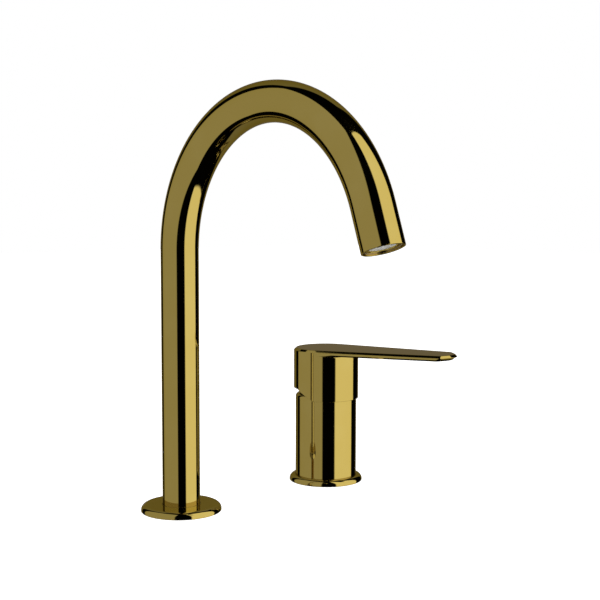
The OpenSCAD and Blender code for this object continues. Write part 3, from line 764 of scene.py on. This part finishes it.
def sector(inner, outer, low, high, first, last, material):
    """A closed piece of a ring between two angles, as the cutter for a partial groove."""
    vertices, faces, count = [], [], 48
    for turn in steps(math.radians(first), math.radians(last), count):
        for r, z in ((inner, low), (outer, low), (outer, high), (inner, high)):
            vertices.append((r * math.cos(turn), r * math.sin(turn), z))
    for c in range(count):
        for i in range(4):
            j = (i + 1) % 4
            faces.append((4 * c + i, 4 * c + 4 + i, 4 * c + 4 + j, 4 * c + j))
    faces += [(0, 1, 2, 3), tuple(4 * count + i for i in (3, 2, 1, 0))]
    return new_piece("cutter", vertices, faces, material)


drilled(foot, [sector(
    stop_r, journal_r + MM, grub_z - stop_half, grub_z + stop_half,
    90 - stop_turn, 90 + stop_turn, spout_brass,
)])
finished(foot, "root", "swivel_foot")

glide = turned(
    "glide", ring_section(journal_r + 0.07 * MM, glide_r, collar_h, collar_h + glide_t, 0.15 * MM),
    nylon, columns=128,
)
finished(glide, "root", "glide_ring")


def seal_ring(name, centre_r, section_r, z, centre=(0, 0, 0)):
    """A rubber sealing ring of round section."""
    return turned(name, corner(centre_r, z, section_r, 0, 345, 23), rubber, centre, 128)


finished(seal_ring("foot_o_ring", foot_seal_r, MM, MM), "root", "foot_seal")
finish_as(rubber, "journal_seals")

# ---- Foot flanges ----
# Two rings turned from bar, one round each foot, that hide the deck holes. Both are polished
# gold, with a shoulder rounded over nearly the whole height.
flange_r, flange_h, flange_round = mm(30, 5, 4)
spout_hole_r, spout_recess_r, spout_recess_h = mm(14.2, 22.2, 3.25)
control_hole_r = 25.15 * MM

flange_break, control_soft = mm(0.2, 0.15)
rim = [
    (flange_r - flange_break, 0), (flange_r, flange_break),
    *corner(flange_r - flange_round, flange_h - flange_round, flange_round, 0, 90, 24),
]
spout_ring = turned("spout_ring", [
    (spout_recess_r, 0), *rim, *corner(spout_hole_r + soft, flange_h - soft, soft, 90, 180, 4),
    (spout_hole_r, spout_recess_h), (spout_recess_r, spout_recess_h),
], gold)
finished(spout_ring, "root", "spout_flange")

control_ring = turned("control_ring", [
    (control_hole_r, 0), *rim,
    *corner(control_hole_r + control_soft, flange_h - control_soft, control_soft, 90, 180, 3),
], gold, control_axis)
finished(control_ring, "root", "control_flange")

# ---- Spout's deck fixing ----
# A rubber pad, a stainless washer and a brass hexagon nut on the shank draw the foot down
# on a deck 30 mm thick. The pad and the washer overlap the deck hole all round.
pad_z, washer_z, nut_z, nut_end = mm(-33, -35, -43, -35)
pad_r, shank_hole_r, spout_nut_af = mm(25, 12.05, 32)

deck_under, soft_edge, steel_edge = mm(-30, 0.4, 0.3)

pad_section = ring_section(shank_hole_r, pad_r, pad_z, deck_under, soft_edge)
spout_rubber = turned("spout_rubber", pad_section, rubber, columns=160)
finished(spout_rubber, "root", "spout_pad")
washer_section = ring_section(shank_hole_r, pad_r - MM, washer_z, pad_z, steel_edge)
washer = turned("washer", washer_section, spout_steel, columns=160)
finished(washer, "root", "spout_washer")


def hexagon_nut(name, across_flats, bore_r, low, high, material, centre=(0, 0, 0)):
    """A hexagon nut whose corners are turned off at 30 degrees on both faces, with the mouth
    of its bore opened."""
    face_r, mouth_w = across_flats / 2 * 0.96, 0.045 * across_flats
    slope, mouth_r = math.tan(math.radians(30)), bore_r + mouth_w / 2

    def section(angle):
        from_flat = (math.degrees(angle) % 60) - 30
        r = across_flats / 2 / math.cos(math.radians(from_flat))
        drop = (r - face_r) * slope
        return [
            (bore_r, low + mouth_w / 2), (mouth_r, low), (face_r, low), (r, low + drop),
            (r, high - drop), (face_r, high), (mouth_r, high), (bore_r, high - mouth_w / 2),
        ]

    return turned(name, section, material, centre, 180)


big_nut = hexagon_nut("big_nut", spout_nut_af, shank_hole_r, nut_z, nut_end, spout_brass)
finished(big_nut, "root", "spout_nut", 25)

# ---- Control body ----
# A round body turned and bored from a brass bar, polished and coated in gold. The cartridge
# sits in its bore. Three hoses and the clamping stud screw into its underside.
body_r, body_h, body_round = mm(25.1, 73, 3.3)
nut_bore_r, nut_bore_z = mm(20, 65.8)
seat_r, seat_z = mm(17.6, 38)
groove_in, groove_out, groove_h = mm(21.45, 23.55, 2.05)
ports = [(-8.804 * MM, -7.003 * MM), (8.804 * MM, -7.003 * MM), (0, 1.5 * MM)]
hose_r, hose_depth, way_r = mm(4.5, 12, 3)
stud_place, stud_hole_r, stud_depth = Vector((148, 13, 0)) * MM, 4.05 * MM, 14 * MM
dowels, dowel_r, dowel_z = [(-12 * MM, 6 * MM), (12 * MM, 6 * MM)], 2.05 * MM, 34.7 * MM

mixer_body = turned("mixer_body", [
    (0, 0), (groove_in, 0), (groove_in, groove_h), (groove_out, groove_h), (groove_out, 0),
    (body_r - 0.2 * MM, 0), (body_r, 0.2 * MM),
    *corner(body_r - body_round, body_h - body_round, body_round, 0, 90, 16),
    (nut_bore_r + 0.3 * MM, body_h), (nut_bore_r, body_h - 0.3 * MM), (nut_bore_r, nut_bore_z),
    (seat_r, nut_bore_z), (seat_r, seat_z), (0, seat_z),
], gold, control_axis)


def countersunk(radius, depth, centre):
    """The cutter of a blind hole whose mouth at the deck face is opened a little."""
    flare = 0.4 * MM
    section = [
        (0, -MM), (radius + flare, -MM), (radius + flare, 0), (radius, flare), (radius, depth),
        (0, depth),
    ]
    return turned("cutter", section, gold, centre, 64)


cutters = [countersunk(stud_hole_r, stud_depth, stud_place)]
for x, y in ports:
    there = control_axis + Vector((x, y, 0))
    cutters.append(countersunk(hose_r, hose_depth, there))
    cutters.append(rod(gold, way_r, hose_depth - MM, seat_z + MM, there))
for x, y in dowels:
    there = control_axis + Vector((x, y, 0))
    cutters.append(rod(gold, dowel_r, dowel_z, seat_z + MM, there, columns=32))
drilled(mixer_body, cutters)
finished(mixer_body, "root", "control_body")
finished(seal_ring("body_o_ring", 22.5 * MM, MM, MM, control_axis), "root", "body_seal")

# ---- Control's deck fixing ----
# A threaded stainless stud and one nut pull a horseshoe plate up against a rubber pad. The
# horseshoe's window leaves the three hoses their way.
stud_r, stud_end, stud_top = mm(4, -55.5, 13.5)
stud_pitch, stud_cut = mm(1.25, 0.6)
stud_nut_z, stud_nut_af = mm(-41.5, 13)
plate_radius, window_half, window_back, plate_hole_r = mm(27, 14.304, 7.1, 4.2)

stud_steel = satin_metal("turned steel at the stud", STEEL, stud_place)
tip = 0.7 * MM
stud = threaded("stud", [
    (stud_end, 0), (stud_end, stud_r - tip),
    *thread_rows(stud_end + tip, stud_top - tip, stud_r, stud_pitch),
    (stud_top, stud_r - tip), (stud_top, 0),
], stud_steel, stud_pitch, stud_cut)
stud.data.transform(Matrix.Translation(stud_place))
finished(stud, "root", "clamp_stud")

small_nut = hexagon_nut(
    "small_nut", stud_nut_af, stud_hole_r, stud_nut_z, washer_z, stud_steel, stud_place,
)
finished(small_nut, "root", "stud_nut", 25)


def horseshoe(name, radius, low, high, rounding, material):
    """A flat plate cut out with a window for the hoses and a hole for the stud."""
    open_at = math.degrees(math.asin(window_half / radius))
    edge_line = [(radius * math.sin(math.radians(t)), -radius * math.cos(math.radians(t)))
                 for t in steps(open_at, 360 - open_at, 120)]
    edge_line += [(-window_half, window_back), (window_half, window_back)]
    count = len(edge_line)
    points = [(x, y, low) for x, y in edge_line] + [(x, y, high) for x, y in edge_line]
    faces = [tuple(range(count)), tuple(reversed(range(count, 2 * count)))]
    faces += [(i, (i + 1) % count, (i + 1) % count + count, i + count) for i in range(count)]
    piece = new_piece(name, [Vector(p) + control_axis for p in points], faces, material)
    drilled(piece, [rod(material, plate_hole_r, low - MM, high + MM, stud_place)])
    broken = piece.modifiers.new("broken edges", "BEVEL")
    broken.width, broken.segments, broken.limit_method = rounding, 3, "ANGLE"
    broken.angle_limit = math.radians(35)
    plain(piece)
    return piece


soft_shoe = horseshoe("horseshoe_rubber", plate_radius + MM, pad_z, deck_under, soft_edge, rubber)
finished(soft_shoe, "root", "clamp_pad")
steel_shoe = horseshoe("horseshoe_plate", plate_radius, washer_z, pad_z, steel_edge, stud_steel)
finished(steel_shoe, "root", "clamp_plate")

# ---- Cartridge ----
# A 35 mm ceramic cartridge: a moulded base with sealed ports, two lapped ceramic discs, a
# slider and a rotor in a moulded housing, and a brass stem on a steel pin.
CERAMIC = (0.9, 0.88, 0.83, 1), (0.84, 0.82, 0.78, 1)


def lapped_ceramic():
    """Near-white lapped ceramic with a faint cloudiness."""
    material, tree, shader = new_material("lapped ceramic", CERAMIC[0], 0.16)
    place = place_of(tree)
    cloud = spread(tree, noise(tree, place, 160, 4), 0.35, 0.7, 0, 1)
    tint(tree, shader, cloud, *CERAMIC)
    sheen(tree, shader, cloud, 0, 1, 0.12, 0.24)
    return material


control_brass = satin_metal("turned brass at the control", BRASS, control_axis)
control_steel = satin_metal("turned steel at the control", STEEL, control_axis)
finish_as(lapped_ceramic(), "fixed_disc", "moving_disc")
finish_as(nylon, "cartridge_base", "cartridge_housing", "disc_slider", "cartridge_rotor")
finish_as(rubber, "port_seals")
finish_as(control_brass, "lever_stem", "cartridge_nut")
finish_as(control_steel, "pivot_pin")

# ---- Nut cover ----
# A thin turned ring in gold that hides the cartridge's nut from above, also when the lever
# is raised.
cover_r, cover_low, cover_high, cover_bore_r = mm(21.3, 73, 76.6, 12.6)
cover_side_z, slope_r, slope_z, crown_r = mm(73.8, 20.3, 74.8, 15.6)
nut_clear_r, nut_clear_z = mm(17.72, 75.3)
cover = turned("cover", [
    (nut_clear_r, cover_low), (cover_r - 0.1 * MM, cover_low), (cover_r, cover_low + 0.1 * MM),
    (cover_r, cover_side_z), (slope_r, slope_z), (crown_r, cover_high),
    *corner(cover_bore_r + soft, cover_high - soft, soft, 90, 180, 4),
    (cover_bore_r, nut_clear_z), (nut_clear_r, nut_clear_z),
], gold, control_axis, 192)
finished(cover, "root", "nut_cover", 60)

# ---- Lever ----
# One forging: a cap over the body and a long flat paddle with a blunt tip that leans in at
# its foot. A facet breaks the edge all round. The cap's lower edge steps up at the back so
# that the lever can tip, and its hub grips the stem.
to_lever = Matrix.Translation(control_axis) @ Matrix.Rotation(math.radians(-67), 4, "Z")
head_r, lip_r, cap_bore_r = mm(26.6, 25.6, 24.4)
lever_top, paddle_under, tip_rake = mm(110.5, 106, 2.4)
facet, low_facet, facet_ease, cove_r = mm(1.9, 1.3, 0.3, 1.6)
cap_low_z, back_rise, ramp_len, step_z = mm(68.8, 8.4, 16.5, 76)
roof_z, hub_r, hub_z, socket_half, socket_top = mm(105.6, 8.98, 86, 4.05, 102.2)
tip_corner, tip_corner_r = (101.277 * MM, 11.3 * MM), 5 * MM
nose_x, nose_r = mm(97.982, 14.018)
lip_round = 0.3 * MM
side_turn, bridge_turn = 84.13, 33.76
lever_screw_z, lever_screw_r, cap_hole_r = mm(94, 2.5, 3.25)


def lever_outline():
    """The lever's outline seen from above, as points with their outward directions and how
    much of the tip's lean each takes."""
    def on_arc(x, y, r, turn):
        t = math.radians(turn)
        return (x + r * math.cos(t), y + r * math.sin(t)), (math.cos(t), math.sin(t)), 1 if x else 0

    half = [on_arc(nose_x, 0, nose_r, t) for t in steps(0, bridge_turn, 16)]
    half += [on_arc(*tip_corner, tip_corner_r, t) for t in steps(bridge_turn, side_turn, 20)]
    side = math.radians(side_turn)
    normal = (math.cos(side), math.sin(side))
    far, near = half[-1][0][0], head_r * normal[0]
    start = math.degrees(math.atan2(half[-1][0][1], half[-1][0][0]))
    for t in sorted(steps(start, side_turn, 48)[1:-1] + [45]):
        reach = head_r / math.cos(math.radians(t) - side)
        x = reach * math.cos(math.radians(t))
        half.append(((x, reach * math.sin(math.radians(t))), normal, (x - near) / (far - near)))
    ramp_end = math.degrees(math.acos(-ramp_len / head_r))
    step_at = math.degrees(math.acos(-ramp_len * (step_z - cap_low_z) / back_rise / head_r))
    turns = steps(side_turn, 180, 72) + [90, step_at - 0.02, step_at + 0.02, ramp_end, 135]
    half += [on_arc(0, 0, head_r, t) for t in sorted(turns)]
    mirrored = [((x, -y), (nx, -ny), lean) for (x, y), (nx, ny), lean in reversed(half[1:-1])]
    return half + mirrored


def cap_foot(x):
    """Height of the cap's lower edge at a distance along the lever."""
    return cap_low_z + back_rise * min(1, max(0, -x / ramp_len))


def lever_rib(point, normal, lean):
    """One upright line over the lever's surface, from the flat top round to the socket. A
    facet, the leaning face and a smaller facet below meet in eased corners."""
    x, y = point
    reach = math.hypot(x, y)
    ray = (x / reach, y / reach)
    k = min(1, max(0, reach - head_r) / (low_facet + cove_r))
    under, cove, shift = low_facet * k, cove_r * k, tip_rake * lean

    def inside(inset, z, back=0):
        return Vector((x - back - inset * normal[0], y - inset * normal[1], z))

    def at(radius, z):
        return Vector((radius * ray[0], radius * ray[1], z))

    rib = []
    profile = [
        inside(2 * facet, lever_top), inside(facet, lever_top), inside(0, lever_top - facet),
        inside(0, paddle_under + under, shift), inside(under, paddle_under, shift),
        at(head_r + cove, paddle_under),
    ]
    for before, edge, after in zip(profile, profile[1:], profile[2:]):
        start = edge + (before - edge).normalized() * min(facet_ease, (before - edge).length / 2)
        end = edge + (after - edge).normalized() * min(facet_ease, (after - edge).length / 2)
        rib += [(1 - t) ** 2 * start + 2 * t * (1 - t) * edge + t * t * end for t in steps(0, 1, 4)]
    for t in steps(0, math.pi / 2, 8):
        rib.append(at(head_r + cove - cove * math.sin(t), paddle_under - cove + cove * math.cos(t)))
    out_z, bore_r = cap_foot(head_r * ray[0]), lip_r
    if out_z > step_z:
        bore_r = cap_bore_r
    in_z = cap_foot(bore_r * ray[0])
    quarter = [(lip_round * (1 - math.cos(t)), lip_round * (1 - math.sin(t)))
               for t in steps(0, math.pi / 2, 4)]
    rib += [at(head_r - over, out_z + up) for over, up in quarter]
    rib += [at(bore_r + up, in_z + over) for over, up in quarter]
    step_height = max(step_z, in_z + lip_round)
    rib += [at(bore_r, step_height), at(cap_bore_r, step_height), at(cap_bore_r, roof_z)]
    rib += [at(hub_r, roof_z), at(hub_r, hub_z)]
    square = socket_half / max(abs(ray[0]), abs(ray[1]))
    rib += [at(square, hub_z), at(square, socket_top)]
    return rib


ribs = [lever_rib(*place) for place in lever_outline()]
rows, columns = len(ribs[0]), len(ribs)
lever_faces = [tuple(c * rows for c in range(columns))]
lever_faces.append(tuple(c * rows + rows - 1 for c in reversed(range(columns))))
for c in range(columns):
    here, there = c * rows, (c + 1) % columns * rows
    for i in range(rows - 1):
        lever_faces.append((here + i, here + i + 1, there + i + 1, there + i))
lever = new_piece("lever", [v for rib in ribs for v in rib], lever_faces, gold)
to_rear = Matrix.Translation((0, 0, lever_screw_z)) @ Matrix.Rotation(-math.pi / 2, 4, "Y")
drilled(lever, [
    rod(gold, lever_screw_r + 0.05 * MM, 3.5 * MM, hub_r + MM, way=to_rear),
    rod(gold, cap_hole_r, cap_bore_r - MM, head_r + MM, way=to_rear),
])
smooth(lever)
true_round(lever, head_r, lambda point: point.x < 0)
lever.data.transform(to_lever)
fitted(lever, "lever", "lever_handle")

# ---- Lever's screw and its cap ----
# A stainless grub screw in the hub clamps the lever to the square stem. A small gold plug,
# domed like the cap's side, closes the hole behind it.
lever_steel = satin_metal("turned steel at the lever", STEEL, control_axis)
set_tip, set_start, set_end, set_pitch, set_cut, set_tip_r = mm(4, 4.05, 10.45, 0.8, 0.35, 1.6)
lever_screw = grub_screw(
    "lever_screw", lever_screw_r, set_start, set_end, set_pitch, set_cut,
    [(set_tip, 0), (set_tip, set_tip_r), (set_start, 1.65 * MM)], lever_steel,
)
lever_screw.data.transform(to_lever @ to_rear)
finished(lever_screw, "lever", "lever_set_screw")

plug_r, plug_dome_r, plug_foot, plug_round = mm(3.2, 26.8, 24.4, 0.25)


def plug_section(angle):
    """The plug's half section in one direction: its face follows the cap's roundness, which
    runs across the plug and not up it."""
    def face(r):
        return math.sqrt(plug_dome_r ** 2 - (r * math.sin(angle)) ** 2)

    inner, rim_z = plug_r - plug_round, face(plug_r)
    shoulder = [(inner + plug_round * math.cos(t), rim_z - plug_round * (1 - math.sin(t)))
                for t in steps(0, math.pi / 2, 5)]
    flat = [(r, face(r)) for r in steps(inner, 0, 6)[1:]]
    return [(0, plug_foot), (plug_r, plug_foot), *shoulder, *flat]


plug = turned("plug", plug_section, gold, columns=72, way=to_lever @ to_rear)
finished(plug, "lever", "index_cap")

# ---- Stage ----
# A white table under a white sky, in a darkened studio. A grey card at the left, a white one
# at the right and a dim one behind stand round the tap, and the gold shows them and the
# darkness between them. The table lies below the mirror's sight, as clear glass would.
card_distance, card_height = 3.0, 0.12
to_viewer, to_right = Vector((-0.6686, -0.7436, 0)), Vector((0.7436, -0.6686, 0))
middle = Vector((0.075, -0.03, 0))


def stage_plane(name, corners, material):
    """A flat card through four points, with its own width and height as map."""
    mesh = bpy.data.meshes.new(name)
    mesh.from_pydata([tuple(c) for c in corners], [], [(0, 1, 2, 3)])
    across = mesh.uv_layers.new(name="across")
    for i, place in enumerate(((0, 0), (1, 0), (1, 1), (0, 1))):
        across.data[i].uv = place
    mesh.materials.append(material)
    card = in_scene(name, mesh)
    return card


def in_mirrors_only(card):
    """Keeps a part of the stage out of everything but the metal's reflections."""
    card.visible_camera = card.visible_diffuse = card.visible_shadow = False


def seen_white(tree, strength):
    """Light that only the eye, a mirror or glass sees on the white surroundings."""
    path = tree.nodes.new("ShaderNodeLightPath").outputs
    do = Sums(tree)
    seen = do.maximum(path["Is Camera Ray"], path["Is Glossy Ray"])
    seen = do.maximum(seen, path["Is Transmission Ray"])
    return do.multiply(seen, strength)


def studio_card(name, facing, left, right, low, high, brightness, soft=0.12):
    """A bright card seen from the tap between two turns and two heights, in degrees, turned
    square to the middle turn given. Its edges fade softly."""
    material = bpy.data.materials.new(name)
    material.use_nodes = True
    tree = material.node_tree
    tree.nodes.remove(tree.nodes["Principled BSDF"])
    width_and_height = axes_of(tree, tree.nodes.new("ShaderNodeTexCoord").outputs["UV"])[:2]
    glow = brightness
    do = Sums(tree)
    for value in width_and_height:
        for start, end in ((0, soft), (1, 1 - soft)):
            glow = do.multiply(spread(tree, value, start, end, 0, 1, "SMOOTHSTEP"), glow)
    shine = node(tree, "ShaderNodeEmission", Strength=glow)
    tree.links.new(shine.outputs[0], tree.nodes["Material Output"].inputs["Surface"])
    turn = math.radians(facing)
    ahead = to_viewer * math.cos(turn) + to_right * math.sin(turn)
    along = to_right * math.cos(turn) - to_viewer * math.sin(turn)
    corners = []
    for turn, height in ((left, low), (right, low), (right, high), (left, high)):
        across = card_distance * math.tan(math.radians(turn - facing))
        up = card_height + card_distance * math.tan(math.radians(height))
        corners.append(middle + ahead * card_distance + along * across + Vector((0, 0, up)))
    card = stage_plane(name, corners, material)
    in_mirrors_only(card)


studio_card("grey card", -52, -119, -12, -67, 74, 0.40, 0.04)
studio_card("white card", 48, 31, 112, -57, 74, 1.0, 0.04)
studio_card("dim card", -174, -212, -136, -64, 64, 0.21, 0.06)

dark = new_material("darkened studio", (0.002, 0.002, 0.002, 1), 1, Specular_IOR_Level=0)[0]
walls = bmesh.new()
bmesh.ops.create_cube(walls, size=30)
mesh = bpy.data.meshes.new("dark_room")
walls.to_mesh(mesh)
walls.free()
mesh.materials.append(dark)
dark_room = in_scene("dark_room", mesh)
in_mirrors_only(dark_room)

floor_material, tree, shader = new_material(
    "white table", (0.85, 0.85, 0.85, 1), 0.9, Specular_IOR_Level=0, Emission_Color=(1, 1, 1, 1),
)
tree.links.new(seen_white(tree, 0.9), shader.inputs["Emission Strength"])
table_z = -0.2 * MM
table_corners = [(x, y, table_z) for x, y in ((-4, -4), (4, -4), (4, 4), (-4, 4))]
table = stage_plane("table", table_corners, floor_material)
table.visible_glossy = False

world = bpy.data.worlds.new("studio")
bpy.context.scene.world = world
world.use_nodes = True
tree = world.node_tree
background = tree.nodes["Background"]
background.inputs["Color"].default_value = (1, 1, 1, 1)
tree.links.new(Sums(tree).add(seen_white(tree, 0.5), 0.5), background.inputs["Strength"])

glow = bpy.data.lights.new("softbox", "AREA")
glow.shape, glow.size, glow.size_y, glow.energy = "RECTANGLE", 1.2, 0.9, 16
softbox = in_scene("softbox", glow)
stand = middle + to_viewer * 0.9 + to_right * 0.9 + Vector((0, 0, 1.5))
aim = (middle + Vector((0, 0, card_height)) - stand).to_track_quat("-Z", "Y")
softbox.matrix_world = Matrix.Translation(stand) @ aim.to_matrix().to_4x4()
softbox.visible_glossy = False

bpy.context.scene.view_settings.view_transform = "Standard"
